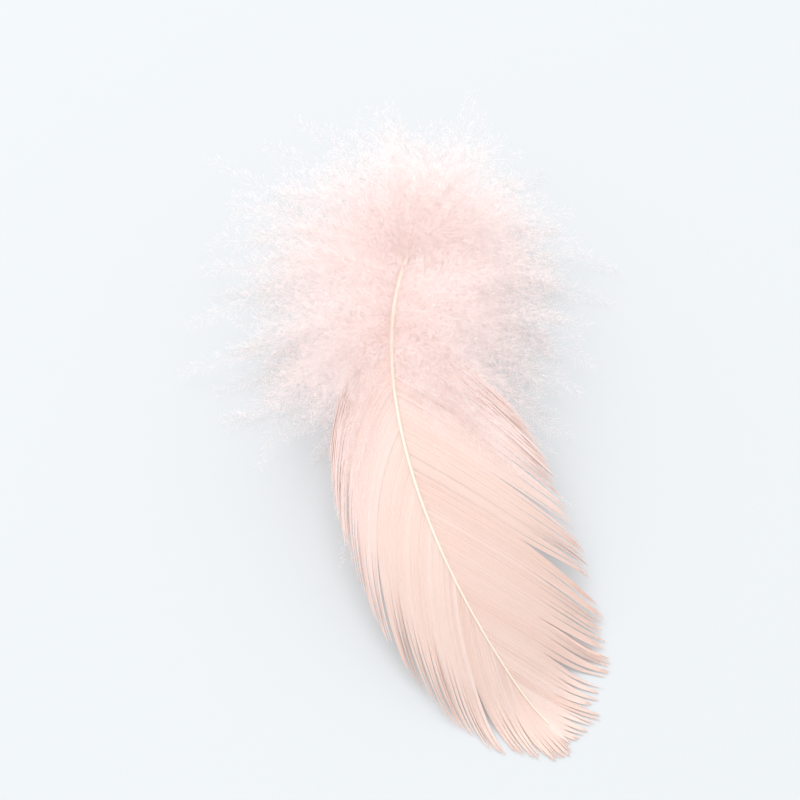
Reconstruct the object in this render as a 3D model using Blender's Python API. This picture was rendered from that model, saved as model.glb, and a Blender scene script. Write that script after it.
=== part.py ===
"""A goose body feather, dyed pale pink, lying back up on a level surface.

The shaft is a curved rod that thins from the quill's end to the tip. A closed vane grows from both sides
of its upper two thirds, and locks of down from its lower third. It all grew as one piece, so it is one solid.

X runs across the feather, +Y from its tip to its quill, and +Z up. The origin is the middle of the
feather's box, on the surface that it lies on. Lengths are in metres, and angles in radians.

Two numbers give a place on the feather as if it were pressed flat: along, the distance from the quill's
end down the shaft, and across, the distance from the shaft, which is positive towards +X.
"""

import math
import random

import bmesh
import bpy
from mathutils import Matrix, Vector

# The shaft
SHAFT_LENGTH = 0.122
FEATHER_LENGTH = 0.129
QUILL_RADIUS = 0.00078
SHAFT_TIP_RADIUS = 0.00012
SHAFT_TAPER = 0.5
SHAFT_EXTRA_DEPTH = 0.0002
QUILL_END_NARROWING = 0.45
QUILL_END_LENGTH = 0.006
QUILL_PLACE = Vector((0.0099, 0.0512, 0.0009))

# How the shaft curves: its heading from -Y towards +X, its climb, and its roll towards the -X side
HEADING_AT_QUILL, HEADING_AT_TIP = math.radians(-30), math.radians(46)
CLIMB_AT_QUILL, CLIMB_AT_TIP = math.radians(33), math.radians(-36)
ROLL_AT_QUILL, ROLL_AT_TIP = math.radians(2), math.radians(5)
CURVE_STEP = 0.0005

# The vane: the first closed barb's root and tip, the breadth of each side and how far each droops
VANE_ROOT = 0.041
VANE_FIRST_TIP = 0.062
OUTLINE_START = 0.034
BREADTH = {-1: 0.0150, 1: 0.0255}
CAMBER_RADIUS = {-1: 0.021, 1: 0.042}
OUTLINE_RISE, OUTLINE_FALL = 0.57, 0.42
TIP_CROWDING = 2.4
BARB_BEND = math.radians(13)
VANE_THICKNESS = 0.0006
BARB_ROWS = 32
BARB_STEPS = 9

# Splits in the vane: side, share of the way along the roots, share of the barb that stays joined, gap
SPLITS = (
    (1, 0.27, 0.42, 0.0016),
    (1, 0.60, 0.55, 0.0012),
    (1, 0.83, 0.50, 0.0009),
    (-1, 0.38, 0.50, 0.0012),
    (-1, 0.74, 0.60, 0.0008),
)
SPLIT_SPREAD = 0.11
SPLIT_OPENING = 1.4
SPLIT_LIFT = 0.35
SPLIT_HALF_ROW = 0.0025
SPLIT_CLEAR_ROW = 0.0075

# The down: rows of locks on both sides of the shaft, in layers that lean up or down from the vane's plane.
# Each layer has its lean and its count of rows, and the last one only rises over the quill.
LOCK_ROWS = 10
LOCK_LAYERS = ((math.radians(-27), 10), (math.radians(3), 10), (math.radians(31), 10), (math.radians(70), 4))
LAYER_STAGGER = 0.3
DOWN_START, DOWN_END = 0.0090, 0.0470
LOCK_ANGLE_AT_QUILL, LOCK_ANGLE_AT_VANE = math.radians(146), math.radians(44)
LOCK_LENGTH_AT_ENDS, LOCK_LENGTH_MIDDLE = 0.0245, 0.0320
LOCK_SAG, LOCK_SWEEP = 0.30, 0.22
LOCK_HALF_WIDTH, LOCK_HALF_HEIGHT = 0.0022, 0.0008
LOCK_TIP_SHARE = 0.12
LOCK_FULLEST, LOCK_FULLNESS = 1.15, 0.8
ANGLE_VARIES, LENGTH_VARIES, LEAN_VARIES = 0.07, 0.12, 0.10
LOCK_STEPS = 7
LOCK_SIDES = 5
LOCK_SEED = 7

# The lowest that the middle of the vane lies over the surface, and the height at which it starts to flatten
REST_HEIGHT = VANE_THICKNESS / 2
SOFTENING = 0.0030

SHAFT_RINGS = 37
SHAFT_SIDES = 8


def mix(start, end, share):
    return start + (end - start) * share


def shaft_curve():
    """The place and the heading, climb and roll of the shaft at every step from the quill's end."""
    rows = []
    place = QUILL_PLACE.copy()
    for step in range(round(FEATHER_LENGTH / CURVE_STEP) + 2):
        share = step * CURVE_STEP / SHAFT_LENGTH
        heading = mix(HEADING_AT_QUILL, HEADING_AT_TIP, share)
        climb = mix(CLIMB_AT_QUILL, CLIMB_AT_TIP, share)
        rows.append((place.copy(), heading, climb, mix(ROLL_AT_QUILL, ROLL_AT_TIP, share)))
        flat = math.cos(climb) * CURVE_STEP
        place += Vector((math.sin(heading) * flat, -math.cos(heading) * flat, math.sin(climb) * CURVE_STEP))
    return rows


SHAFT_CURVE = shaft_curve()


def shaft_frame(along):
    """The shaft's middle there, with the ways down the shaft, across it to +X, and out of its back."""
    at = min(max(along / CURVE_STEP, 0), len(SHAFT_CURVE) - 1.001)
    index = int(at)
    near, far = SHAFT_CURVE[index], SHAFT_CURVE[index + 1]
    place = near[0].lerp(far[0], at - index)
    heading, climb, roll = (mix(near[i], far[i], at - index) for i in (1, 2, 3))
    flat = math.cos(climb)
    down = Vector((math.sin(heading) * flat, -math.cos(heading) * flat, math.sin(climb)))
    across = Vector((math.cos(heading), math.sin(heading), 0))
    across.rotate(Matrix.Rotation(roll, 3, down))
    return place, down, across, down.cross(across)


def settled(height, lowest):
    """A height after the soft barbs below it have flattened on the surface."""
    spare = height - lowest
    if spare >= SOFTENING:
        return height
    if spare <= -SOFTENING:
        return lowest
    return lowest + (spare + SOFTENING) ** 2 / (4 * SOFTENING)


def vane_point(along, across, lift=0.0):
    """The point of the vane's middle surface at a place on the flat feather."""
    middle, _, sideways, back = shaft_frame(along)
    radius = CAMBER_RADIUS[1 if across > 0 else -1]
    turn = across / radius
    point = middle + sideways * (radius * math.sin(turn)) - back * (radius * (1 - math.cos(turn)) - lift)
    point.z = settled(point.z, REST_HEIGHT)
    return point


def half_breadth(side, along):
    """How far the outline is from the shaft. It is widest at RISE / (RISE + FALL) of the vane's length."""
    share = min(max((along - OUTLINE_START) / (FEATHER_LENGTH - OUTLINE_START), 0), 1)
    widest = OUTLINE_RISE / (OUTLINE_RISE + OUTLINE_FALL)
    rise = (share / widest) ** OUTLINE_RISE
    fall = ((1 - share) / (1 - widest)) ** OUTLINE_FALL
    return BREADTH[side] * rise * fall


def split_shift(side, row, step):
    """How far splits move a place on a barb: row is its share along the roots, and step along the barb."""
    moved = 0.0
    for split_side, split_row, joined, gap in SPLITS:
        if split_side != side or step <= joined:
            continue
        way = 1 if row > split_row else -1
        near = math.exp(-abs(row - split_row) / SPLIT_SPREAD)
        moved += way * gap * near * ((step - joined) / (1 - joined)) ** SPLIT_OPENING
    return moved


def barb_place(side, row, step):
    """A place on a barb, as along, across and lift. A barb leaves the shaft steeply and bends to the tip."""
    root = mix(VANE_ROOT, SHAFT_LENGTH, row)
    tip = mix(VANE_FIRST_TIP, FEATHER_LENGTH, 1 - (1 - row) ** TIP_CROWDING)
    reach = half_breadth(side, tip)
    chord = math.hypot(tip - root, reach)
    angle = math.atan2(reach, tip - root) + BARB_BEND * min(1, reach / BREADTH[side])
    pull = chord / (2 * math.cos(BARB_BEND))
    first, second = 2 * step * (1 - step), step * step
    along = root + first * pull * math.cos(angle) + second * (tip - root)
    across = first * pull * math.sin(angle) + second * reach
    shift = split_shift(side, row, step)
    return along + shift, side * across, abs(shift) * SPLIT_LIFT * (1 if shift > 0 else 0)


def is_split(side, row_before, row_after, step):
    """True if a split parts these neighbouring barbs at this share of their length."""
    return any(
        split_side == side and row_before < split_row <= row_after and step > joined
        for split_side, split_row, joined, _ in SPLITS
    )


def barb_rows():
    """Where the sheet's rows of barbs are rooted: evenly, with one close to each side of every split."""
    even = [index / (BARB_ROWS - 1) for index in range(BARB_ROWS)]
    clear = [row for row in even if all(abs(row - split[1]) > SPLIT_CLEAR_ROW for split in SPLITS)]
    beside = [split[1] + way * SPLIT_HALF_ROW for split in SPLITS for way in (-1, 1)]
    return sorted(clear + beside)


def add_vane(name, material):
    """Both sides of the vane, as one sheet with its barbs' curves as its rows."""
    shape = bmesh.new()
    rows = barb_rows()
    steps = [index / BARB_STEPS for index in range(BARB_STEPS + 1)]
    spine = [shape.verts.new(vane_point(mix(VANE_ROOT, SHAFT_LENGTH, row), 0)) for row in rows]
    apex = [shape.verts.new(vane_point(barb_place(1, 1, step)[0], 0)) for step in steps[1:]]
    for side in (-1, 1):
        lines = [[middle] + [None] * BARB_STEPS for middle in spine]
        for i, row in enumerate(rows[:-1]):
            for j, step in enumerate(steps[1:], 1):
                lines[i][j] = shape.verts.new(vane_point(*barb_place(side, row, step)))
        lines[-1][1:] = apex
        for i in range(len(rows) - 1):
            for j in range(BARB_STEPS):
                if is_split(side, rows[i], rows[i + 1], steps[j + 1]):
                    continue
                corners = (lines[i][j], lines[i][j + 1], lines[i + 1][j + 1], lines[i + 1][j])
                shape.faces.new(corners if side > 0 else corners[::-1])
    mesh = bpy.data.meshes.new(name)
    shape.to_mesh(mesh)
    shape.free()
    mesh.materials.append(material)
    vane = bpy.data.objects.new(name, mesh)
    bpy.context.scene.collection.objects.link(vane)
    thicken = vane.modifiers.new("thickness", "SOLIDIFY")
    thicken.thickness = VANE_THICKNESS
    thicken.offset = 0
    return vane


def add_rod(name, places, frames, half_sizes, sides, collection, material):
    """A closed rod through places, each ring an ellipse of the half sizes across and out of its frame."""
    shape = bmesh.new()
    rings = []
    for place, (sideways, out), (wide, high) in zip(places, frames, half_sizes):
        ring = []
        for corner in range(sides):
            turn = math.tau * corner / sides
            offset = sideways * (wide * math.cos(turn)) + out * (high * math.sin(turn))
            ring.append(shape.verts.new(place + offset))
        rings.append(ring)
    for before, after in zip(rings, rings[1:]):
        for corner in range(sides):
            following = (corner + 1) % sides
            shape.faces.new((before[corner], before[following], after[following], after[corner]))
    shape.faces.new(rings[0][::-1])
    shape.faces.new(rings[-1])
    bmesh.ops.recalc_face_normals(shape, faces=shape.faces)
    mesh = bpy.data.meshes.new(name)
    shape.to_mesh(mesh)
    shape.free()
    mesh.materials.append(material)
    rod = bpy.data.objects.new(name, mesh)
    rod.hide_render = True
    rod.display_type = "WIRE"
    collection.objects.link(rod)
    return rod


def shaft_radius(along):
    thin = mix(QUILL_RADIUS, SHAFT_TIP_RADIUS, (along / SHAFT_LENGTH) ** SHAFT_TAPER)
    return thin * min(1, QUILL_END_NARROWING + along / QUILL_END_LENGTH)


def add_shaft(collection, material):
    """The quill and the shaft in one rod, deeper than it is wide."""
    places, frames, sizes = [], [], []
    for ring in range(SHAFT_RINGS):
        along = SHAFT_LENGTH * ring / (SHAFT_RINGS - 1)
        radius = shaft_radius(along)
        place, _, sideways, out = shaft_frame(along)
        place = place.copy()
        place.z = settled(place.z, max(REST_HEIGHT, radius + SHAFT_EXTRA_DEPTH))
        places.append(place)
        frames.append((sideways, out))
        sizes.append((radius, radius + SHAFT_EXTRA_DEPTH))
    return add_rod("shaft_rod", places, frames, sizes, SHAFT_SIDES, collection, material)


def lock_path(along, side, lean, jitter, steps):
    """The middle of a lock of down. Its angle to the shaft closes towards the vane, and it sags."""
    share = (along - DOWN_START) / (DOWN_END - DOWN_START)
    place, down, sideways, out = shaft_frame(along)
    angle = mix(LOCK_ANGLE_AT_QUILL, LOCK_ANGLE_AT_VANE, share) + jitter[0]
    fullness = math.sin(math.pi * min(max(share, 0), 1))
    length = mix(LOCK_LENGTH_AT_ENDS, LOCK_LENGTH_MIDDLE, fullness) * (1 + jitter[1])
    tilt = lean + jitter[2]
    level = down * math.cos(angle) + sideways * (side * math.sin(angle))
    way = level * math.cos(tilt) + out * math.sin(tilt)
    pull = down * LOCK_SWEEP + Vector((0, 0, -LOCK_SAG))
    points = []
    for step in range(steps + 1):
        reach = step / steps
        points.append(place + (way * reach + pull * reach * reach) * length)
    return points


def lock_half_width(reach):
    """A lock is thin at its root, fullest past its middle, and ends in a point."""
    return LOCK_TIP_SHARE + (1 - LOCK_TIP_SHARE) * math.sin(math.pi * reach ** LOCK_FULLEST) ** LOCK_FULLNESS


def add_locks(collection, material):
    chance = random.Random(LOCK_SEED)
    for layer, (lean, rows) in enumerate(LOCK_LAYERS):
        for row in range(rows):
            for side in (-1, 1):
                share = (row + 0.5 + (layer - 1) * LAYER_STAGGER) / LOCK_ROWS
                jitter = [chance.uniform(-most, most) for most in (ANGLE_VARIES, LENGTH_VARIES, LEAN_VARIES)]
                points = lock_path(mix(DOWN_START, DOWN_END, share), side, lean, jitter, LOCK_STEPS)
                frames, sizes = [], []
                for step, point in enumerate(points):
                    before, after = points[max(step - 1, 0)], points[min(step + 1, LOCK_STEPS)]
                    forward = (after - before).normalized()
                    sideways = forward.cross(Vector((0, 0, 1))).normalized()
                    frames.append((sideways, sideways.cross(forward)))
                    full = lock_half_width(step / LOCK_STEPS)
                    sizes.append((LOCK_HALF_WIDTH * full, LOCK_HALF_HEIGHT * full))
                for point, size in zip(points[1:], sizes[1:]):
                    point.z = settled(point.z, size[1])
                add_rod(f"lock_{layer}_{row}_{side}", points, frames, sizes, LOCK_SIDES, collection, material)


def material_of(name, colour, roughness):
    material = bpy.data.materials.new(name)
    material.use_nodes = True
    surface = material.node_tree.nodes["Principled BSDF"]
    surface.inputs["Base Color"].default_value = (*colour, 1)
    surface.inputs["Roughness"].default_value = roughness
    return material


def main():
    for leftover in list(bpy.data.objects):
        bpy.data.objects.remove(leftover)
    pink = material_of("dyed_feather", (0.93, 0.73, 0.65), 0.6)
    grown_on = bpy.data.collections.new("grown on the vane")
    bpy.context.scene.collection.children.link(grown_on)
    feather = add_vane("feather", pink)
    add_shaft(grown_on, pink)
    add_locks(grown_on, pink)
    join = feather.modifiers.new("grown as one", "BOOLEAN")
    join.operation = "UNION"
    join.operand_type = "COLLECTION"
    join.collection = grown_on
    join.solver = "EXACT"


main()
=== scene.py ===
# %% [markdown]
# # A goose feather, barb by barb
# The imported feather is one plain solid: a shaft, a closed vane and locks of down. This lesson grows the
# real surface around it, as thin barbs that follow the same curves, and then lights and frames it.
# It loads the solid first, because every piece here has to lie where the solid does.

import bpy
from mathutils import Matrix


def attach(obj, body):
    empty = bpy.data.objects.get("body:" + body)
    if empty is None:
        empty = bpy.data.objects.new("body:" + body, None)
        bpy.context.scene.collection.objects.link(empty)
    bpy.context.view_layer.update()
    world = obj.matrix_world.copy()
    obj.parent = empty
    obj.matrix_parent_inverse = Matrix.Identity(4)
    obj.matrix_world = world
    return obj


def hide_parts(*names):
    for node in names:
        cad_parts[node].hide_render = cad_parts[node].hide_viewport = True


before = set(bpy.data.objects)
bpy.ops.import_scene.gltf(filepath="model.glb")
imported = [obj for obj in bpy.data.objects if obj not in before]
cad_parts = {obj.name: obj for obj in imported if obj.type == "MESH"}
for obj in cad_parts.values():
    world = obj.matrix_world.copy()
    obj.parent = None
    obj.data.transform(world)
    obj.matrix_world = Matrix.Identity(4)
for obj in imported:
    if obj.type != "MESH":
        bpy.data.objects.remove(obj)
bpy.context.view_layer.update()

# %% Modules
import math
import random

import bpy
import numpy as np
from mathutils import Matrix, Vector

# %% [markdown]
# ## The shaft's curve
# A feather's shaft is a springy rod of keratin that bends in two ways at once: it arches off the table, and
# it swings sideways towards its broad vane. It could be drawn as a Bezier curve, but then every barb would
# have to be fitted to it afterwards. Here the heading, climb and roll change evenly with the distance from
# the quill, so any place on the feather can be worked out from two numbers, as in the solid.

# %% How the shaft curves
SHAFT_LENGTH = 0.122
FEATHER_LENGTH = 0.129
QUILL_PLACE = Vector((0.0099, 0.0512, 0.0009))
HEADINGS = (math.radians(-30), math.radians(46))
CLIMBS = (math.radians(33), math.radians(-36))
ROLLS = (math.radians(2), math.radians(5))
CURVE_STEP = 0.0005
# A place is looked up between two steps of the curve, so it stays a little more than one step from its end.
END_MARGIN = 1.001


def mix(start, end, share):
    return start + (end - start) * share


def ease(low, high, value):
    """0 below low and 1 above high, with a smooth rise between them."""
    share = min(max((value - low) / (high - low), 0), 1)
    return share * share * (3 - 2 * share)


def shaft_curve():
    """The place and the heading, climb and roll of the shaft at every step from the quill's end."""
    rows = []
    place = QUILL_PLACE.copy()
    for step in range(round(FEATHER_LENGTH / CURVE_STEP) + 2):
        share = step * CURVE_STEP / SHAFT_LENGTH
        heading, climb, roll = mix(*HEADINGS, share), mix(*CLIMBS, share), mix(*ROLLS, share)
        rows.append((place.copy(), heading, climb, roll))
        flat = math.cos(climb) * CURVE_STEP
        place += Vector((math.sin(heading) * flat, -math.cos(heading) * flat, math.sin(climb) * CURVE_STEP))
    return rows


SHAFT_CURVE = shaft_curve()


def shaft_frame(along):
    """The shaft's middle there, with the ways down the shaft, across it to +X, and out of its back."""
    at = min(max(along / CURVE_STEP, 0), len(SHAFT_CURVE) - END_MARGIN)
    index = int(at)
    near, far = SHAFT_CURVE[index], SHAFT_CURVE[index + 1]
    place = near[0].lerp(far[0], at - index)
    heading, climb, roll = (mix(near[i], far[i], at - index) for i in (1, 2, 3))
    flat = math.cos(climb)
    down = Vector((math.sin(heading) * flat, -math.cos(heading) * flat, math.sin(climb)))
    across = Vector((math.cos(heading), math.sin(heading), 0))
    across.rotate(Matrix.Rotation(roll, 3, down))
    return place, down, across, down.cross(across)


print("shaft's tip", tuple(round(1000 * value, 1) for value in shaft_frame(SHAFT_LENGTH)[0]), "mm")

# %% [markdown]
# ## Where a barb runs
# The vane looks like a sheet, but it is hundreds of barbs side by side, each a thread that leaves the shaft
# steeply and bends towards the tip. The sheet is cambered, drooping away from the shaft on both sides, and
# where it meets the table its soft edge flattens. Splits open where the barbs' hooks have let go. All of
# this is one function from a place on the pressed-flat feather to a point in space.

# %% The rule of the vane
VANE_ROOT = 0.041
VANE_FIRST_TIP = 0.062
OUTLINE_START = 0.034
BREADTH = {-1: 0.0150, 1: 0.0255}
CAMBER_RADIUS = {-1: 0.021, 1: 0.042}
OUTLINE_RISE, OUTLINE_FALL = 0.57, 0.42
TIP_CROWDING = 2.4
BARB_BEND = math.radians(13)
# Each split: its side, its share along the roots, how far out it stays joined, and how wide it opens.
SPLITS = (
    (1, 0.27, 0.42, 0.0016),
    (1, 0.60, 0.55, 0.0012),
    (1, 0.83, 0.50, 0.0009),
    (-1, 0.38, 0.50, 0.0012),
    (-1, 0.74, 0.60, 0.0008),
)
SPLIT_SPREAD = 0.11
SPLIT_OPENING = 1.4
SPLIT_LIFT = 0.35
REST_HEIGHT = 0.0003
SOFTENING = 0.0030


def settled(height, lowest):
    """A height after the soft barbs below it have flattened on the surface."""
    spare = height - lowest
    if spare >= SOFTENING:
        return height
    if spare <= -SOFTENING:
        return lowest
    return lowest + (spare + SOFTENING) ** 2 / (4 * SOFTENING)


def vane_point(along, across, lift=0.0):
    """The point of the vane's middle surface at a place on the flat feather."""
    middle, _, sideways, back = shaft_frame(along)
    radius = CAMBER_RADIUS[1 if across > 0 else -1]
    turn = across / radius
    point = middle + sideways * (radius * math.sin(turn)) - back * (radius * (1 - math.cos(turn)) - lift)
    point.z = settled(point.z, REST_HEIGHT)
    return point


def half_breadth(side, along):
    """How far the outline is from the shaft. It is widest at RISE / (RISE + FALL) of the vane's length."""
    share = min(max((along - OUTLINE_START) / (FEATHER_LENGTH - OUTLINE_START), 0), 1)
    widest = OUTLINE_RISE / (OUTLINE_RISE + OUTLINE_FALL)
    rise = (share / widest) ** OUTLINE_RISE
    fall = ((1 - share) / (1 - widest)) ** OUTLINE_FALL
    return BREADTH[side] * rise * fall


def split_shift(side, row, step):
    """How far splits move a place on a barb: row is its share along the roots, and step along the barb."""
    moved = 0.0
    for split_side, split_row, joined, gap in SPLITS:
        if split_side != side or step <= joined:
            continue
        way = 1 if row > split_row else -1
        near = math.exp(-abs(row - split_row) / SPLIT_SPREAD)
        moved += way * gap * near * ((step - joined) / (1 - joined)) ** SPLIT_OPENING
    return moved


def barb_place(side, row, step, home=None):
    """A place on a barb, as along, across and lift. A barb leaves the shaft steeply and bends to the tip.

    home is the row that it grew from, where it has been drawn aside: it stays on that side of a split.
    """
    root = mix(VANE_ROOT, SHAFT_LENGTH, row)
    tip = mix(VANE_FIRST_TIP, FEATHER_LENGTH, 1 - max(1 - row, 0) ** TIP_CROWDING)
    reach = half_breadth(side, tip)
    chord = math.hypot(tip - root, reach)
    angle = math.atan2(reach, tip - root) + BARB_BEND * min(1, reach / BREADTH[side])
    pull = chord / (2 * math.cos(BARB_BEND))
    first, second = 2 * step * (1 - step), step * step
    along = root + first * pull * math.cos(angle) + second * (tip - root)
    across = first * pull * math.sin(angle) + second * reach
    shift = split_shift(side, row if home is None else home, step)
    return along + shift, side * across, abs(shift) * SPLIT_LIFT * (1 if shift > 0 else 0)


print("widest vane", {side: round(1000 * half_breadth(side, 0.09), 1) for side in (-1, 1)}, "mm at 90 mm")

# %% [markdown]
# ## Building node trees in words
# Shaders and geometry trees both need sums on values that only exist while Blender runs. Wiring each Math
# node by hand hides the formula, so a small class stands for one output socket and lets Python's own
# operators add the nodes. A second class holds the tree and makes any other node in one line.


# %% Two helpers for node trees
class Wire:
    """One output socket. Arithmetic on it adds Math nodes, or Vector Math nodes where it is a vector."""

    def __init__(self, board, socket):
        self.board = board
        self.socket = socket

    def sum(self, operation, first, second):
        vector = self.socket.type == "VECTOR"
        kind = "ShaderNodeVectorMath" if vector else "ShaderNodeMath"
        return self.board.add(kind, {"operation": operation}, {0: first, 1: second})

    def __add__(self, other):
        return self.sum("ADD", self, other)

    def __radd__(self, other):
        return self.sum("ADD", other, self)

    def __sub__(self, other):
        return self.sum("SUBTRACT", self, other)

    def __rsub__(self, other):
        return self.sum("SUBTRACT", other, self)

    def __mul__(self, other):
        return self.sum("MULTIPLY", self, other)

    def __truediv__(self, other):
        return self.sum("DIVIDE", self, other)

    def scaled(self, factor):
        """This vector times one number."""
        values = {"Vector": self, "Scale": factor}
        return self.board.add("ShaderNodeVectorMath", {"operation": "SCALE"}, values)


class Board:
    """A node tree under construction."""

    def __init__(self, tree):
        self.tree = tree

    def node(self, kind, settings, values):
        """A new node. Its settings come first, because they decide which sockets it has."""
        node = self.tree.nodes.new(kind)
        for name, setting in settings.items():
            setattr(node, name, setting)
        for name, value in values.items():
            socket = node.inputs[name]
            if isinstance(value, Wire):
                self.tree.links.new(value.socket, socket)
            else:
                socket.default_value = value
        return node

    def add(self, kind, settings=None, values=None, output=0):
        """A new node's output as a wire: the first one, or the one that is named or numbered."""
        node = self.node(kind, settings or {}, values or {})
        return Wire(self, node.outputs[output])


print("helpers", Wire.__name__, "and", Board.__name__)

# %% [markdown]
# ## Guides
# Geometry Nodes are good at repeating a shape along many lines, and Python is good at the rule for the
# lines. So each barb starts as a guide: a line of points joined by edges, with values stored at each point
# that the tree reads by name. `facing` says which way the barb's flat side looks, `half_width` how broad it
# is there, `reach` runs from 0 at its root to 1 at its tip, `place` is how far down the feather it is
# rooted, and `tone` is its own small change of colour.


# %% Guides for Geometry Nodes
class Guides:
    """Lines of points, with the values that the trees and the materials read at each point."""

    def __init__(self):
        self.points = []
        self.edges = []
        self.values = {"facing": [], "half_width": [], "reach": [], "tone": [], "place": []}

    def line(self, points, facings, half_widths, tone, along):
        first = len(self.points)
        last = len(points) - 1
        self.points += points
        self.edges += [(first + index, first + index + 1) for index in range(last)]
        self.values["facing"] += facings
        self.values["half_width"] += half_widths
        self.values["reach"] += [index / last for index in range(last + 1)]
        self.values["tone"] += [tone] * (last + 1)
        self.values["place"] += [along / FEATHER_LENGTH] * (last + 1)

    def to_object(self, name):
        mesh = bpy.data.meshes.new(name)
        mesh.from_pydata(self.points, self.edges, [])
        for key, rows in self.values.items():
            vector = key == "facing"
            stored = mesh.attributes.new(key, "FLOAT_VECTOR" if vector else "FLOAT", "POINT")
            stored.data.foreach_set("vector" if vector else "value", np.array(rows, np.float32).ravel())
        guide = bpy.data.objects.new(name, mesh)
        bpy.context.scene.collection.objects.link(guide)
        return guide


print("a guide carries", sorted(Guides().values))

# %% [markdown]
# ## Colours and materials
# The dye is a pale peach pink, and it looks deeper where layers of barbs overlap. Towards the tip the
# colour is darkened with painted shade. Barbs are thin keratin, so much of the light goes through them: a
# Translucent shader in a Mix Shader gives that glow from behind, which subsurface scattering can't on a
# thread with almost no inside. The dye took a little unevenly, so each lobe and barb has its own tone, and
# a soft noise over the whole feather adds slow changes.
#
# In real down, light goes from thread to thread dozens of times before it comes out. A renderer stops
# following it after a few, so white down would look grey. The `echo` puts that light back as a faint, even
# emission in the same pink. All colours are given as linear values.

# %% Colours and helpers for the dyed keratin
VANE_PINK = (0.895, 0.780, 0.728)
VANE_DEEP = (0.835, 0.650, 0.572)
VANE_BLUSH = (0.960, 0.845, 0.815)
VANE_GLOW = (0.980, 0.745, 0.640)
DOWN_PALE = (0.890, 0.785, 0.765)
DOWN_PINK = (0.980, 0.835, 0.806)
DOWN_GLOW = (0.980, 0.840, 0.815)
SHAFT_CREAM = (0.880, 0.825, 0.745)
QUILL_CREAM = (0.845, 0.765, 0.660)
SHAFT_GLOW = (0.945, 0.855, 0.755)
REFRACTION = 1.54
BUMP_DISTANCE = 0.00003


def colour(values):
    return (*values, 1.0)


def new_material(name):
    material = bpy.data.materials.new(name)
    material.use_nodes = True
    material.node_tree.nodes.clear()
    return material, Board(material.node_tree)


def attribute(board, name):
    return board.add("ShaderNodeAttribute", {"attribute_name": name}, {}, "Fac")


def noise(board, place, values):
    return board.add("ShaderNodeTexNoise", {}, {"Vector": place, **values}, "Fac")


def bumps(board, strength, height):
    values = {"Strength": strength, "Distance": BUMP_DISTANCE, "Height": height}
    return board.add("ShaderNodeBump", {}, values)


def mix_colours(board, share, first, second):
    """A colour between two. A Mix node's inputs 6 and 7 are its colours, and its output 2 is their mix."""
    values = {0: share, 6: first, 7: second}
    return board.add("ShaderNodeMix", {"data_type": "RGBA", "clamp_factor": True}, values, 2)


def dyed_surface(board, base, roughness, glow, through, echo=0.0, normal=None):
    """Keratin that reflects some light and lets a share through in its glow, wired to the output."""
    values = {"Base Color": base, "Roughness": roughness, "IOR": REFRACTION}
    values.update({"Emission Color": colour(glow), "Emission Strength": echo})
    if normal is not None:
        values["Normal"] = normal
    front = board.add("ShaderNodeBsdfPrincipled", {}, values)
    behind = board.add("ShaderNodeBsdfTranslucent", {}, {"Color": colour(glow)})
    both = board.add("ShaderNodeMixShader", {}, {0: through, 1: front, 2: behind})
    board.node("ShaderNodeOutputMaterial", {}, {"Surface": both})


print("vane", VANE_PINK, "down", DOWN_PINK, "shaft", SHAFT_CREAM)

# %% The vane's finish
CLOUD = {"Scale": 70.0, "Detail": 2.0}
GRAIN = {"Scale": 2600.0, "Detail": 1.0}
NOISE_MIDDLE = 0.5
BASE_DEPTH, TONE_DEPTH, CLOUD_DEPTH = -0.05, 0.32, 0.5
# The second number on the next line is painted shade: it darkens the vane towards the feather's tip.
BARB_END_DEPTH, TIP_PAINTED_SHADE = 0.15, 0.5
BLUSH_ENDS, BLUSH_FADE = 0.56, 4.5
VANE_ROUGHNESS, CLOUD_ROUGHNESS = 0.46, 0.12
GRAIN_BUMP = 0.15
VANE_THROUGH = 0.42


def vane_finish():
    """Pink barbs, each with its own tone, darker towards the tip as painted shade, paler near the down."""
    material, board = new_material("dyed_vane")
    place = board.add("ShaderNodeTexCoord", {}, {}, "Object")
    cloud = noise(board, place, CLOUD)
    reach = attribute(board, "reach")
    tone = attribute(board, "tone")
    down_the_feather = attribute(board, "place")
    depth = BASE_DEPTH + tone * TONE_DEPTH + (cloud - NOISE_MIDDLE) * CLOUD_DEPTH
    # Painted shade: the colour deepens along the feather towards its tip.
    depth = depth + reach * reach * BARB_END_DEPTH + down_the_feather * TIP_PAINTED_SHADE
    dyed = mix_colours(board, depth, colour(VANE_PINK), colour(VANE_DEEP))
    base = mix_colours(board, (BLUSH_ENDS - down_the_feather) * BLUSH_FADE, dyed, colour(VANE_BLUSH))
    bump = bumps(board, GRAIN_BUMP, noise(board, place, GRAIN))
    roughness = VANE_ROUGHNESS + cloud * CLOUD_ROUGHNESS
    dyed_surface(board, base, roughness, VANE_GLOW, VANE_THROUGH, normal=bump)
    return material


vane_material = vane_finish()
print(vane_material.name, "has", len(vane_material.node_tree.nodes), "nodes")

# %% The down's finish
PINK_AT_ROOT, PALER_BY_END = 1.25, 1.1
DOWN_ROUGHNESS = 0.7
DOWN_THROUGH = 0.08
DOWN_ECHO = 0.172


def down_finish():
    """Loose down, pinker near the shaft and paler at its ends."""
    material, board = new_material("dyed_down")
    place = board.add("ShaderNodeTexCoord", {}, {}, "Object")
    cloud = noise(board, place, CLOUD)
    reach = attribute(board, "reach")
    depth = PINK_AT_ROOT - reach * PALER_BY_END + (cloud - NOISE_MIDDLE) * CLOUD_DEPTH
    base = mix_colours(board, depth, colour(DOWN_PALE), colour(DOWN_PINK))
    dyed_surface(board, base, DOWN_ROUGHNESS, DOWN_GLOW, DOWN_THROUGH, DOWN_ECHO)
    return material


down_material = down_finish()
print(down_material.name, "has", len(down_material.node_tree.nodes), "nodes")

# %% The shaft's finish
STREAKS = {"Scale": 900.0, "Detail": 2.0}
STREAK_DEPTH = 0.4
CREAM_RISE = 4
SHAFT_ROUGHNESS, STREAK_ROUGHNESS = 0.30, 0.15
STREAK_BUMP = 0.2
SHAFT_THROUGH = 0.45


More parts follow.
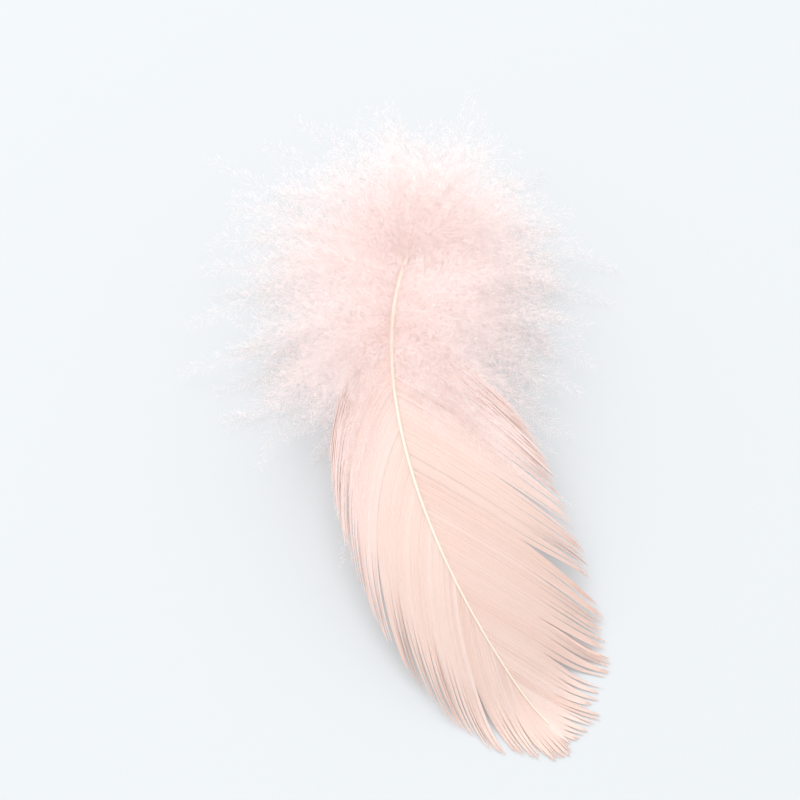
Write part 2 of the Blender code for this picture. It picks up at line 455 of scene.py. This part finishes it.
def shaft_finish():
    """Cream keratin with fine streaks, a little yellower and darker at the bare quill."""
    material, board = new_material("cream_keratin")
    place = board.add("ShaderNodeTexCoord", {}, {}, "Object")
    reach = attribute(board, "reach")
    streak = noise(board, place, STREAKS)
    depth = reach * CREAM_RISE + (streak - NOISE_MIDDLE) * STREAK_DEPTH
    base = mix_colours(board, depth, colour(QUILL_CREAM), colour(SHAFT_CREAM))
    bump = bumps(board, STREAK_BUMP, streak)
    roughness = SHAFT_ROUGHNESS + streak * STREAK_ROUGHNESS
    dyed_surface(board, base, roughness, SHAFT_GLOW, SHAFT_THROUGH, normal=bump)
    return material


shaft_material = shaft_finish()
print(shaft_material.name, "has", len(shaft_material.node_tree.nodes), "nodes")

# %% [markdown]
# ## A tree that sweeps a barb along every guide
# A barb is a thin, flattened thread. Drawing over seven hundred of them by hand is hopeless, and a hair
# system would be lost when the model is exported, so one tree sweeps a small closed ring along all the
# guides at once. It makes curves of the edges, turns each curve's flat side to `facing`, and scales the
# ring by `half_width`. It ends in Realize Instances and Set Material, so that a plain mesh comes out.


# %% The sweep tree
def group_with(name, inputs):
    """A geometry tree with a geometry input, these named number or material inputs, and one output."""
    tree = bpy.data.node_groups.new(name, "GeometryNodeTree")
    tree.interface.new_socket("Geometry", in_out="INPUT", socket_type="NodeSocketGeometry")
    for label, (kind, value) in inputs.items():
        socket = tree.interface.new_socket(label, in_out="INPUT", socket_type=kind)
        if value is not None:
            socket.default_value = value
    tree.interface.new_socket("Geometry", in_out="OUTPUT", socket_type="NodeSocketGeometry")
    board = Board(tree)
    entry = tree.nodes.new("NodeGroupInput")
    given = {socket.name: Wire(board, socket) for socket in entry.outputs if socket.name}
    return tree, board, given


def stored(board, name, kind="FLOAT"):
    return board.add("GeometryNodeInputNamedAttribute", {"data_type": kind}, {"Name": name}, "Attribute")


def finish_tree(board, geometry, material):
    smooth = board.add("GeometryNodeSetShadeSmooth", {}, {"Geometry": geometry})
    real = board.add("GeometryNodeRealizeInstances", {}, {"Geometry": smooth})
    painted = board.add("GeometryNodeSetMaterial", {}, {"Geometry": real, "Material": material})
    board.node("NodeGroupOutput", {}, {"Geometry": painted})


def swept(board, curves, sides, flatness):
    """A closed tube along each curve: flatness is its thickness over its width."""
    facing = stored(board, "facing", "FLOAT_VECTOR")
    turned = board.add("GeometryNodeSetCurveNormal", {"mode": "FREE"}, {"Curve": curves, "Normal": facing})
    circle = board.add("GeometryNodeCurvePrimitiveCircle", {}, {"Resolution": sides, "Radius": 1.0})
    squash = board.add("ShaderNodeCombineXYZ", {}, {"X": flatness, "Y": 1.0, "Z": 1.0})
    ring = board.add("GeometryNodeTransform", {}, {"Geometry": circle, "Scale": squash})
    half_width = stored(board, "half_width")
    values = {"Curve": turned, "Profile Curve": ring, "Scale": half_width, "Fill Caps": True}
    return board.add("GeometryNodeCurveToMesh", {}, values)


def sweep_tree():
    inputs = {
        "Sides": ("NodeSocketInt", 4),
        "Flatness": ("NodeSocketFloat", 0.5),
        "Material": ("NodeSocketMaterial", None),
    }
    tree, board, given = group_with("sweep barbs", inputs)
    curves = board.add("GeometryNodeMeshToCurve", {}, {"Mesh": given["Geometry"]})
    finish_tree(board, swept(board, curves, given["Sides"], given["Flatness"]), given["Material"])
    return tree


def grown(guide, tree, values):
    """Runs a tree on a guide object, and leaves the plain mesh that it makes in the guide's place."""
    modifier = guide.modifiers.new(tree.name, "NODES")
    modifier.node_group = tree
    inputs = [item for item in tree.interface.items_tree if item.in_out == "INPUT"]
    identifiers = {item.name: item.identifier for item in inputs}
    for label, value in values.items():
        modifier[identifiers[label]] = value
    evaluated = guide.evaluated_get(bpy.context.evaluated_depsgraph_get())
    mesh = bpy.data.meshes.new_from_object(evaluated)
    guide.modifiers.remove(modifier)
    old = guide.data
    guide.data = mesh
    mesh.name = guide.name
    bpy.data.meshes.remove(old)
    return guide


def triangles(piece):
    return sum(len(face.vertices) - 2 for face in piece.data.polygons)


barb_tree = sweep_tree()
print("tree", barb_tree.name, "with", len(barb_tree.nodes), "nodes")

# %% [markdown]
# ## The shaft
# The shaft is a tapered rod with a bare quill at one end. It could be the solid itself, but the solid has
# only eight sides. So the same tree sweeps a round ring down the same curve, with more sides.

# %% Grow the shaft
QUILL_RADIUS, SHAFT_TIP_RADIUS = 0.00078, 0.00012
SHAFT_TAPER = 0.5
QUILL_END_NARROWING, QUILL_END_LENGTH = 0.45, 0.006
SHAFT_EXTRA_DEPTH = 0.0002
SHAFT_RINGS, SHAFT_SIDES = 120, 14


def shaft_radius(along):
    thin = mix(QUILL_RADIUS, SHAFT_TIP_RADIUS, (along / SHAFT_LENGTH) ** SHAFT_TAPER)
    return thin * min(1, QUILL_END_NARROWING + along / QUILL_END_LENGTH)


def shaft_guides():
    guides = Guides()
    points, facings, widths = [], [], []
    for ring in range(SHAFT_RINGS):
        along = SHAFT_LENGTH * ring / (SHAFT_RINGS - 1)
        place, _, _, back = shaft_frame(along)
        radius = shaft_radius(along)
        place.z = settled(place.z, max(REST_HEIGHT, radius))
        points.append(place + back * SHAFT_EXTRA_DEPTH)
        facings.append(back)
        widths.append(radius)
    guides.line(points, facings, widths, 0.0, 0.0)
    return guides


round_rod = {"Sides": SHAFT_SIDES, "Flatness": 1.0, "Material": shaft_material}
shaft = grown(shaft_guides().to_object("shaft"), barb_tree, round_rod)
print("shaft", triangles(shaft), "triangles")

# %% [markdown]
# ## The vane
# Barbs don't run in perfect rank. Where hooks have let go, the vane parts into a few broad lobes that lie
# over and under each other, and each lobe parts again into narrow bundles whose ends draw together and
# leave small notches. A texture could only paint this, so every barb gets its own guide. A group, broad or
# narrow, gathers its barbs towards its middle as they near their ends, and rides a little above or below
# its neighbours, tilted like a shingle. The first barbs, near the down, hold together least.

# %% Lobes and bundles of barbs
# shares says how much of the roots a group takes, and pulls how far its barbs gather to its middle. rise,
# stretch, drift and tone say how its height, length, direction and colour differ from its neighbours', and
# point how much shorter its outer barbs are.
LOBES = {
    "shares": (0.09, 0.21),
    "pulls": (0.05, 0.20),
    "rise": 0.00095,
    "stretch": 0.012,
    "point": 0.022,
    "drift": 0.013,
    "tone": 0.85,
}
BUNDLES = {
    "shares": (0.010, 0.038),
    "pulls": (0.12, 0.70),
    "rise": 0.00024,
    "stretch": 0.014,
    "point": 0.055,
    "drift": 0.0,
    "tone": 0.35,
}
LIFT_BY_TURNS, LIFT_VARIES = 0.6, 0.5
TILT_VARIES = 1.6
POINT_VARIES = (0.3, 1.5)


def part_into_groups(side, chance, rule):
    """The groups of one size along the roots, each a dictionary. A split always ends a group."""
    marks = [0.0]
    while marks[-1] < 1:
        marks.append(marks[-1] + chance.uniform(*rule["shares"]))
    splits = [split[1] for split in SPLITS if split[0] == side]
    rows = sorted([mark for mark in marks if mark < 1] + splits + [1.0])
    groups = []
    for number, (start, end) in enumerate(zip(rows, rows[1:])):
        over = 1 if number % 2 else -1
        groups.append({
            "start": start,
            "middle": (start + end) / 2,
            "breadth": max(end - start, rule["shares"][0]),
            "pull": chance.uniform(*rule["pulls"]),
            "lift": rule["rise"] * (LIFT_BY_TURNS * over + chance.uniform(-LIFT_VARIES, LIFT_VARIES)),
            "tilt": rule["rise"] * chance.uniform(-TILT_VARIES, TILT_VARIES),
            "stretch": chance.gauss(0, rule["stretch"]),
            "point": rule["point"] * chance.uniform(*POINT_VARIES),
            "drift": chance.gauss(0, rule["drift"]),
            "tone": chance.uniform(-1, 1) * rule["tone"],
        })
    return groups


def group_at(groups, row):
    return max(index for index, group in enumerate(groups) if group["start"] <= row)


print("of the roots, a lobe takes", LOBES["shares"], "and a bundle", BUNDLES["shares"])

# %% The line of every barb
BARBS_A_SIDE = 360
BARB_STEPS = 24
ROOT_VARIES = 0.2
BARB_VARIES, LOOSE_BARB_VARIES = 0.010, 0.05
BROKEN_SHARE, BROKEN_OFF = 0.04, (0.03, 0.14)
HEIGHT_VARIES = 0.00003
STRAY_ROW, STRAY_HEIGHT = 0.012, 0.0008
LOOSE_FROM = 0.45
LOOSE_ROWS = 0.20


def vane_lines(side, chance):
    """Each barb's root row, points and outward ways, the numbers of its lobe and bundle, and their tone."""
    levels = [part_into_groups(side, chance, rule) for rule in (LOBES, BUNDLES)]
    lines = []
    for barb in range(BARBS_A_SIDE):
        row = (barb + 0.5 + chance.uniform(-ROOT_VARIES, ROOT_VARIES)) / BARBS_A_SIDE
        numbers = [group_at(groups, row) for groups in levels]
        own = [groups[number] for groups, number in zip(levels, numbers)]
        free = 1 - ease(0, LOOSE_ROWS, row)
        length = 1 + chance.gauss(0, BARB_VARIES + LOOSE_BARB_VARIES * free)
        for group in own:
            length += group["stretch"] - group["point"] * abs(row - group["middle"]) / group["breadth"]
        if chance.random() < BROKEN_SHARE:
            length -= chance.uniform(*BROKEN_OFF)
        height = chance.uniform(-1, 1) * HEIGHT_VARIES
        stray_row = chance.gauss(0, STRAY_ROW) * free
        stray_height = chance.uniform(-1, 1) * STRAY_HEIGHT * free
        points, facings = [], []
        for index in range(BARB_STEPS + 1):
            step = length * index / BARB_STEPS
            loose = ease(LOOSE_FROM, 1.0, step)
            moved = row + stray_row * step * step
            raised = height + stray_height * step * step
            for group in own:
                aside = row - group["middle"]
                moved += loose * (group["drift"] - group["pull"] * aside)
                raised += loose * (group["lift"] + group["tilt"] * aside / group["breadth"])
            along, across, opened = barb_place(side, moved, step, row)
            here = vane_point(along, across, raised + opened)
            down_way = vane_point(along + CURVE_STEP, across, raised + opened) - here
            across_way = vane_point(along, across + CURVE_STEP, raised + opened) - here
            points.append(here)
            facings.append(down_way.cross(across_way).normalized())
        lines.append((row, points, facings, numbers, sum(group["tone"] for group in own)))
    return lines


print(2 * BARBS_A_SIDE, "barbs of", BARB_STEPS + 1, "points each")

# %% The breadth and tone of every barb
OVERLAP = 1.35
NARROWEST, BROADEST = 0.00012, 0.0005
END_TAPER_START, END_TAPER_LEFT = 0.84, 0.18
THIN_ROWS, THIN_STEPS, THINNEST = (-0.02, 0.13), (0.05, 0.5), 0.30
TONE_KEPT, TONE_NEW = 0.7, 0.3
NEAR_TONE, OWN_TONE = 0.5, 0.25


def apart(here, there, index):
    """How far two barbs are from each other at a step, measured square to the first."""
    way = (here[min(index + 1, BARB_STEPS)] - here[max(index - 1, 0)]).normalized()
    return (there[index] - here[index]).cross(way).length


def vane_guides(side, chance):
    """The barbs of one side. Each is as broad as the space to its neighbours in its bundle asks.

    A barb's tone is its groups' tone, one that changes slowly from barb to barb, and a little of its own.
    """
    guides = Guides()
    lines = vane_lines(side, chance)
    tone = 0.0
    for barb, (row, points, facings, numbers, shared_tone) in enumerate(lines):
        beside = [other for other in (barb - 1, barb + 1) if 0 <= other < len(lines)]
        kin = [other for other in beside if lines[other][3] == numbers] or beside
        widths = []
        for index in range(BARB_STEPS + 1):
            space = max(apart(points, lines[other][1], index) for other in kin)
            end = ease(END_TAPER_START, 1.0, index / BARB_STEPS)
            firm = mix(1, mix(THINNEST, 1, ease(*THIN_ROWS, row)), ease(*THIN_STEPS, index / BARB_STEPS))
            broad = OVERLAP * min(max(space, NARROWEST), BROADEST) / 2
            widths.append(broad * firm * mix(1, END_TAPER_LEFT, end))
        tone = TONE_KEPT * tone + TONE_NEW * chance.uniform(-1, 1)
        own_tone = shared_tone + NEAR_TONE * tone + OWN_TONE * chance.uniform(-1, 1)
        guides.line(points, facings, widths, own_tone, mix(VANE_ROOT, SHAFT_LENGTH, row))
    return guides


print("barbs are at most", round(1000 * OVERLAP * BROADEST, 2), "mm broad")

# %% Grow both sides of the vane
VANE_SEEDS = {-1: 11, 1: 23}
SIDE_NAMES = {-1: "narrow", 1: "broad"}
BARB_SIDES, BARB_FLATNESS = 4, 0.5
flat_thread = {"Sides": BARB_SIDES, "Flatness": BARB_FLATNESS, "Material": vane_material}

vanes = []
for side, name in SIDE_NAMES.items():
    guide = vane_guides(side, random.Random(VANE_SEEDS[side])).to_object(f"vane_{name}_side")
    vanes.append(grown(guide, barb_tree, flat_thread))
    print(vanes[-1].name, triangles(vanes[-1]), "triangles")

# %% [markdown]
# ## The down
# Near the quill the barbs have no hooks, so nothing holds them in a sheet. Each is a limp thread with long
# barbules all round it, like a bottle brush, and together they make the soft cloud at the feather's base.
# The solid has them as locks that reach to their ends. Here each lock becomes a spray of barbs that follow
# its curve, and a second tree sets barbules on them: three-sided needles, since there are far too many for
# anything rounder. A goose's barbules swell into small nodes near their ends, so each needle is broadest
# there and comes to a point at its root. That also spreads the down evenly, where needles that are
# broadest at the root would draw every barb as a dark line.

# %% A tree that sets barbules on a barb
LOWEST = 0.00012
STEM_SIDES, BARBULE_SIDES = 3, 3
FORWARD_VARIES = (0.3, 1.6)
BARBULE_AT_ROOT, BARBULE_RISE, BARBULE_FALL = 0.45, 2.2, 1.15
BARBULE_VARIES = (0.5, 1.3)


def vector_step(board, operation, values, output=0):
    return board.add("ShaderNodeVectorMath", {"operation": operation}, values, output)


def brush_tree():
    """A stem along every guide, with barbules all round it that lean forward by a random amount.

    A Random Value node's inputs 0 and 1 are its range for vectors, and 2 and 3 its range for numbers.
    A barbule that would go through the surface is turned up until its end is clear of it.
    """
    inputs = {
        "Spacing": ("NodeSocketFloat", 0.0001),
        "Barbule Length": ("NodeSocketFloat", 0.0016),
        "Barbule Width": ("NodeSocketFloat", 0.00002),
        "Forward": ("NodeSocketFloat", 0.8),
        "Seed": ("NodeSocketInt", 0),
        "Material": ("NodeSocketMaterial", None),
    }
    tree, board, given = group_with("brush barbs", inputs)
    curves = board.add("GeometryNodeMeshToCurve", {}, {"Mesh": given["Geometry"]})
    stems = swept(board, curves, STEM_SIDES, 1.0)
    values = {"Curve": curves, "Length": given["Spacing"]}
    spots = board.node("GeometryNodeCurveToPoints", {"mode": "LENGTH"}, values)
    points, tangent = Wire(board, spots.outputs["Points"]), Wire(board, spots.outputs["Tangent"])

    def chance(low, high, more):
        values = {2: low, 3: high, "Seed": given["Seed"] + more}
        return board.add("FunctionNodeRandomValue", {"data_type": "FLOAT"}, values, 1)

    corners = {0: (-1, -1, -1), 1: (1, 1, 1), "Seed": given["Seed"]}
    anyway = board.add("FunctionNodeRandomValue", {"data_type": "FLOAT_VECTOR"}, corners, 0)
    beside = vector_step(board, "CROSS_PRODUCT", {0: tangent, 1: anyway})
    out = vector_step(board, "NORMALIZE", {0: beside})
    lean = tangent.scaled(given["Forward"] * chance(*FORWARD_VARIES, 1))
    aim = vector_step(board, "NORMALIZE", {0: out + lean})
    reach = stored(board, "reach")
    length = given["Barbule Length"] * (BARBULE_AT_ROOT + reach * BARBULE_RISE) * (BARBULE_FALL - reach)
    length = length * chance(*BARBULE_VARIES, 2)
    parts = board.node("ShaderNodeSeparateXYZ", {}, {"Vector": aim})
    place = board.node("ShaderNodeSeparateXYZ", {}, {"Vector": board.add("GeometryNodeInputPosition")})
    steepest = (LOWEST - Wire(board, place.outputs["Z"])) / length
    heights = {0: Wire(board, parts.outputs["Z"]), 1: steepest}
    level = board.add("ShaderNodeMath", {"operation": "MAXIMUM"}, heights)
    ways = {"X": Wire(board, parts.outputs["X"]), "Y": Wire(board, parts.outputs["Y"]), "Z": level}
    clear = board.add("ShaderNodeCombineXYZ", {}, ways)
    turn = board.add("FunctionNodeAlignRotationToVector", {"axis": "Z"}, {"Vector": clear})
    kept = vector_step(board, "LENGTH", {0: clear}, "Value")
    cone = {"Vertices": BARBULE_SIDES, "Radius Top": 1.0, "Radius Bottom": 0.0, "Depth": 1.0}
    needle = board.add("GeometryNodeMeshCone", {"fill_type": "NGON"}, cone)
    width = given["Barbule Width"]
    size = board.add("ShaderNodeCombineXYZ", {}, {"X": width, "Y": width, "Z": length * kept})
    values = {"Points": points, "Instance": needle, "Rotation": turn, "Scale": size}
    barbules = board.add("GeometryNodeInstanceOnPoints", {}, values)
    both = board.tree.nodes.new("GeometryNodeJoinGeometry")
    for wire in (stems, barbules):
        board.tree.links.new(wire.socket, both.inputs[0])
    finish_tree(board, Wire(board, both.outputs[0]), given["Material"])
    return tree


down_tree = brush_tree()
print("tree", down_tree.name, "with", len(down_tree.nodes), "nodes")

# %% The curve of a lock of down
LOCK_ROWS = 10
# Each layer of locks: how far it leans out of the feather's plane, and its rows along the shaft.
LOCK_LAYERS = (
    (math.radians(-27), 10),
    (math.radians(3), 10),
    (math.radians(31), 10),
    (math.radians(70), 4),
)
LAYER_STAGGER = 0.3
DOWN_START, DOWN_END = 0.0090, 0.0470
LOCK_ANGLE_AT_QUILL, LOCK_ANGLE_AT_VANE = math.radians(146), math.radians(44)
BARB_LENGTH_AT_ENDS, BARB_LENGTH_MIDDLE = 0.022, 0.029
LOCK_SAG, LOCK_SWEEP = 0.30, 0.22


def lock_path(along, side, lean, jitter, steps):
    """The middle of a lock of down. Its angle to the shaft closes towards the vane, and it sags."""
    share = (along - DOWN_START) / (DOWN_END - DOWN_START)
    place, down, sideways, out = shaft_frame(along)
    angle = mix(LOCK_ANGLE_AT_QUILL, LOCK_ANGLE_AT_VANE, share) + jitter[0]
    fullness = math.sin(math.pi * min(max(share, 0), 1))
    length = mix(BARB_LENGTH_AT_ENDS, BARB_LENGTH_MIDDLE, fullness) * (1 + jitter[1])
    tilt = lean + jitter[2]
    level = down * math.cos(angle) + sideways * (side * math.sin(angle))
    way = level * math.cos(tilt) + out * math.sin(tilt)
    pull = down * LOCK_SWEEP + Vector((0, 0, -LOCK_SAG))
    reaches = [index / steps for index in range(steps + 1)]
    return [place + (way * reach + pull * reach * reach) * length for reach in reaches]


print(2 * sum(rows for _, rows in LOCK_LAYERS), "locks")

# %% Loose barbs along each lock
ANGLE_VARIES, LENGTH_VARIES, LEAN_VARIES = 0.07, 0.12, 0.10
LOCK_SEED = 7
BARBS_A_LOCK = 12
DOWN_STEPS = 16
DOWN_HALF_WIDTH, STEM_TIP_SHARE = 0.000022, 0.25
SPREAD = {"root": 0.0026, "angle": 0.24, "lean": 0.22, "curl": 0.16, "wave": 0.0014}
SHORTEST, LONGEST = -0.42, 0.16
WAVE_TURNS = (0.7, 2.4)
CLEARANCE, CLEARANCE_RISE = 0.0004, 4


def about_zero(chance, spread):
    """A random amount, mostly within the spread and never past twice the spread."""
    return spread * min(max(chance.gauss(0, 1), -2), 2)


def any_way(chance, spread):
    return Vector([about_zero(chance, spread) for _ in range(3)])


def wavy(points, chance, wildness=1.0):
    """The same line with a curl and a slow wave, both growing to the tip, and kept off the surface."""
    curl = any_way(chance, SPREAD["curl"] * wildness)
    sway = any_way(chance, SPREAD["wave"] * wildness)
    turns, start = chance.uniform(*WAVE_TURNS), chance.uniform(0, math.tau)
    length = (points[-1] - points[0]).length
    moved = []
    for index, point in enumerate(points):
        reach = index / (len(points) - 1)
        wave = sway * (reach * math.sin(start + math.tau * turns * reach))
        shifted = point + wave + curl * (length * reach * reach)
        shifted.z = settled(shifted.z, CLEARANCE * min(1, CLEARANCE_RISE * reach) + LOWEST)
        moved.append(shifted)
    return moved


def thread(guides, points, half_width, along):
    """A thin round stem along points, which carries barbules."""
    last = len(points) - 1
    ways = [(points[min(i + 1, last)] - points[max(i - 1, 0)]).normalized() for i in range(last + 1)]
    facings = [way.orthogonal().normalized() for way in ways]
    widths = [half_width * mix(1, STEM_TIP_SHARE, index / last) for index in range(last + 1)]
    guides.line(points, facings, widths, 0.0, along)


def spray(guides, along, side, lean, jitter, chance):
    """One loose barb near the middle of a lock."""
    root = along + chance.uniform(-1, 1) * SPREAD["root"]
    own_angle = jitter[0] + about_zero(chance, SPREAD["angle"])
    own_length = jitter[1] + chance.uniform(SHORTEST, LONGEST)
    own_lean = jitter[2] + about_zero(chance, SPREAD["lean"])
    points = wavy(lock_path(root, side, lean, (own_angle, own_length, own_lean), DOWN_STEPS), chance)
    thread(guides, points, DOWN_HALF_WIDTH, root)


def down_guides():
    """The sprays of each layer and side, as eight sets of guides."""
    chance = random.Random(LOCK_SEED)
    fine = random.Random(LOCK_SEED + 1)
    varies = (ANGLE_VARIES, LENGTH_VARIES, LEAN_VARIES)
    sets = {}
    for layer, (lean, rows) in enumerate(LOCK_LAYERS):
        for row in range(rows):
            for side in (-1, 1):
                share = (row + 0.5 + (layer - 1) * LAYER_STAGGER) / LOCK_ROWS
                jitter = [chance.uniform(-most, most) for most in varies]
                guides = sets.setdefault((layer, side), Guides())
                for _ in range(BARBS_A_LOCK):
                    spray(guides, mix(DOWN_START, DOWN_END, share), side, lean, jitter, fine)
    return sets


print(BARBS_A_LOCK, "barbs a lock, of", DOWN_STEPS + 1, "points each")

# %% Grow the down
BRUSH = {"Spacing": 0.00013, "Barbule Length": 0.0034, "Barbule Width": 0.000016, "Forward": 0.9}
LAYER_NAMES = ("under", "middle", "upper", "crown")

downs = []
for seed, ((layer, side), guides) in enumerate(down_guides().items()):
    guide = guides.to_object(f"down_{LAYER_NAMES[layer]}_{SIDE_NAMES[side]}_side")
    downs.append(grown(guide, down_tree, {**BRUSH, "Seed": seed, "Material": down_material}))
    print(downs[-1].name, triangles(downs[-1]), "triangles")

# %% [markdown]
# ## Between down and vane
# A feather doesn't change from down to vane at a line. The first barbs of the vane are half down: hooked
# together near the shaft, but free and fluffy further out, and they lie loosely over the closed vane. They
# follow the vane's own rule, lifted off it, and the brush tree gives them short barbules.

# %% Grow the half-downy barbs
SOFT_BARBS = 130
SOFT_ROWS = (-0.17, 0.22)
SOFT_LIFT, SOFT_CLEARANCE = (-0.0006, 0.0024), 0.0002
SOFT_CROWDING = 1.3
SOFT_DRIFT = 0.02
SOFT_LENGTHS = (0.45, 0.95)
SOFT_WILDNESS = 0.4
SOFT_SEED = 41


def soft_guides(chance):
    """Loose barbs on both sides of the vane's start."""
    guides = Guides()
    for number in range(SOFT_BARBS):
        side = 1 if number % 2 else -1
        row = mix(*SOFT_ROWS, chance.random() ** SOFT_CROWDING)
        lift, drift = chance.uniform(*SOFT_LIFT), chance.gauss(0, SOFT_DRIFT)
        length = chance.uniform(*SOFT_LENGTHS)
        points = []
        for index in range(DOWN_STEPS + 1):
            step = length * index / DOWN_STEPS
            along, across, opened = barb_place(side, row + drift * step, step)
            points.append(vane_point(along, across, opened + SOFT_CLEARANCE + lift * step))
        root = mix(VANE_ROOT, SHAFT_LENGTH, row)
        thread(guides, wavy(points, chance, SOFT_WILDNESS), DOWN_HALF_WIDTH, root)
    return guides


SOFT_BRUSH = {"Spacing": 0.00014, "Barbule Length": 0.0015, "Barbule Width": 0.000015, "Forward": 1.0}
soft_values = {**SOFT_BRUSH, "Seed": SOFT_SEED, "Material": down_material}
downs.append(grown(soft_guides(random.Random(SOFT_SEED)).to_object("soft_barbs"), down_tree, soft_values))
print(downs[-1].name, triangles(downs[-1]), "triangles")

# %% [markdown]
# ## The pieces ride on the body
# Each piece rides on the feather's one body and stands for the solid.

# %% Ride on the body and replace the solid
pieces = [(shaft, "quill")] + [(vane, "vane") for vane in vanes] + [(down, "down") for down in downs]
for piece, slot in pieces:
    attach(piece, "root")
    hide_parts("feather")
print("all", sum(triangles(piece) for piece, _ in pieces), "triangles")

# %% [markdown]
# ## Floor, light and camera
# Pale down is easy to lose against a pale ground. Soft daylight from all round and a wide soft box overhead
# keep its shadows light. The sheet is duller than it looks, under stronger light, so that the thin barbs
# come out as bright as they should, and it gives off a little light of its own, so that the splits in the
# vane stay open and pale.

# %% Floor
FLOOR_SIZE = 6.0
FLOOR_WHITE = (0.370, 0.382, 0.391)
FLOOR_GLOW, FLOOR_GLOW_STRENGTH = (0.965, 0.985, 1.0), 0.215


def add_floor():
    mesh = bpy.data.meshes.new("floor")
    half = FLOOR_SIZE / 2
    corners = [(-half, -half, 0), (half, -half, 0), (half, half, 0), (-half, half, 0)]
    mesh.from_pydata(corners, [], [(0, 1, 2, 3)])
    floor = bpy.data.objects.new("floor", mesh)
    bpy.context.scene.collection.objects.link(floor)
    material, board = new_material("white_sheet")
    values = {"Base Color": colour(FLOOR_WHITE), "Roughness": 0.9, "Specular IOR Level": 0.1}
    values.update({"Emission Color": colour(FLOOR_GLOW), "Emission Strength": FLOOR_GLOW_STRENGTH})
    surface = board.add("ShaderNodeBsdfPrincipled", {}, values)
    board.node("ShaderNodeOutputMaterial", {}, {"Surface": surface})
    mesh.materials.append(material)
    return floor


add_floor()
print("a sheet of", FLOOR_SIZE, "m")

# %% Light
WORLD_STRENGTH = 1.25
WORLD_COLOUR = (0.955, 0.98, 1.0)
LAMP_PLACE, LAMP_TARGET = (-0.24, 0.24, 1.05), (0, 0, 0)
LAMP_SIZE, LAMP_POWER = 1.2, 10.6


def add_world():
    world = bpy.data.worlds.new("soft daylight")
    world.use_nodes = True
    world.node_tree.nodes.clear()
    board = Board(world.node_tree)
    sky = board.add("ShaderNodeBackground", {}, {"Color": colour(WORLD_COLOUR), "Strength": WORLD_STRENGTH})
    board.node("ShaderNodeOutputWorld", {}, {"Surface": sky})
    bpy.context.scene.world = world


def add_soft_box(name, place, target, size, power):
    light = bpy.data.lights.new(name, "AREA")
    light.shape = "DISK"
    light.size = size
    light.energy = power
    lamp = bpy.data.objects.new(name, light)
    bpy.context.scene.collection.objects.link(lamp)
    lamp.location = place
    lamp.rotation_euler = (Vector(target) - Vector(place)).to_track_quat("-Z", "Y").to_euler()


add_world()
add_soft_box("overhead", LAMP_PLACE, LAMP_TARGET, LAMP_SIZE, LAMP_POWER)
bpy.context.scene.view_settings.view_transform = "Standard"
bpy.context.scene.view_settings.look = "None"
print("one soft box of", LAMP_POWER, "W under a sky of strength", WORLD_STRENGTH)

# %% Camera
ELEVATION = math.radians(58)
LENS, SENSOR_WIDTH = 100.0, 36.0
NEAREST_IN_VIEW = 0.01
DISTANCE = 0.385
LOOK_AT = Vector((0.0, 0.002, 0.009))


def add_camera():
    data = bpy.data.cameras.new("camera")
    data.lens = LENS
    data.sensor_width = SENSOR_WIDTH
    data.clip_start = NEAREST_IN_VIEW
    camera = bpy.data.objects.new("camera", data)
    bpy.context.scene.collection.objects.link(camera)
    away = Vector((0, -math.cos(ELEVATION), math.sin(ELEVATION)))
    camera.location = LOOK_AT + away * DISTANCE
    camera.rotation_euler = (-away).to_track_quat("-Z", "Y").to_euler()
    bpy.context.scene.camera = camera


add_camera()
print("camera", tuple(round(value, 3) for value in bpy.context.scene.camera.location))
